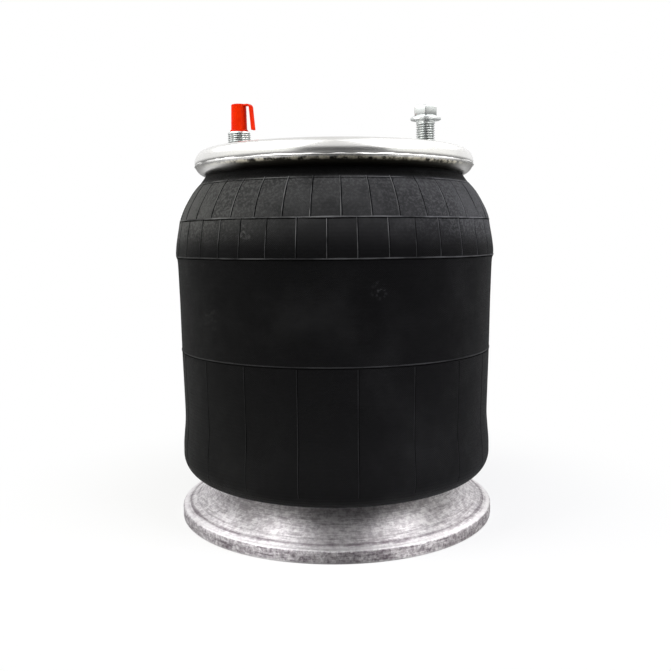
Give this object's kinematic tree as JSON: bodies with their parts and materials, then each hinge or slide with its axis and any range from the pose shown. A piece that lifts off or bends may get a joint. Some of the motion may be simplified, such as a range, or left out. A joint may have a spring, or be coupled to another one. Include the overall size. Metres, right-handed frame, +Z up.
{
  "type": "air suspension spring",
  "caption": "Rolling lobe air spring: crimped steel bead plate with air stud and flange bolt, black rubber bellows and a flared cast aluminium piston.",
  "frame": {"origin": "centre of the piston's base ring, on the plane the spring stands on", "axes": "+Z up along the spring's axis from the piston to the bead plate; the stud and the bolt lie on X, the air stud at -X; -Y is the side the picture shows"},
  "size_m": [0.2674, 0.2674, 0.3451],
  "materials": {
    "cast_aluminium": "as-cast with machined lip, scuffed",
    "zinc_steel": "bright zinc plated, light scratches",
    "plain_steel": "plain steel, lightly oiled",
    "black_rubber": "matt, with the print of the wrapping cloth",
    "bumper_rubber": "moulded, satin",
    "red_plastic": "moulded polyethylene, satin"
  },
  "bodies": {
    "piston_base": {"piston": "cast_aluminium", "mount_insert_1": "plain_steel", "mount_insert_2": "plain_steel", "mount_insert_3": "plain_steel", "mount_insert_4": "plain_steel", "hub_insert": "plain_steel", "lower_bead_wire": "plain_steel", "bead_retainer": "plain_steel", "bumper_plate": "plain_steel", "bumper": "bumper_rubber", "centre_washer": "zinc_steel", "centre_lock_washer": "plain_steel", "centre_bolt": "zinc_steel", "bellows": "black_rubber"},
    "bead_plate_top": {"bead_plate": "zinc_steel", "upper_bead_wire": "plain_steel", "combo_stud": "zinc_steel", "blind_nut": "plain_steel"},
    "bolt": {"flange_bolt": "zinc_steel"},
    "cap": {"port_cap": "red_plastic"}
  },
  "joints": [
    {"name": "travel", "type": "slide", "parent": "piston_base", "child": "bead_plate_top", "axis": [0, 0, 1], "range_m": [-0.03, 0.21], "stiffness_N_per_m": 1500, "springref_m": 0.0125, "deforming": ["bellows"]},
    {"name": "bolt_turn", "type": "hinge", "parent": "bead_plate_top", "child": "bolt", "pos_m": [0.07875, 0, 0.3334], "axis": [0, 0, 1], "continuous": true},
    {"name": "cap_pull", "type": "slide", "parent": "bead_plate_top", "child": "cap", "axis": [0, 0, 1], "range_m": [0, 0.03]}
  ]
}
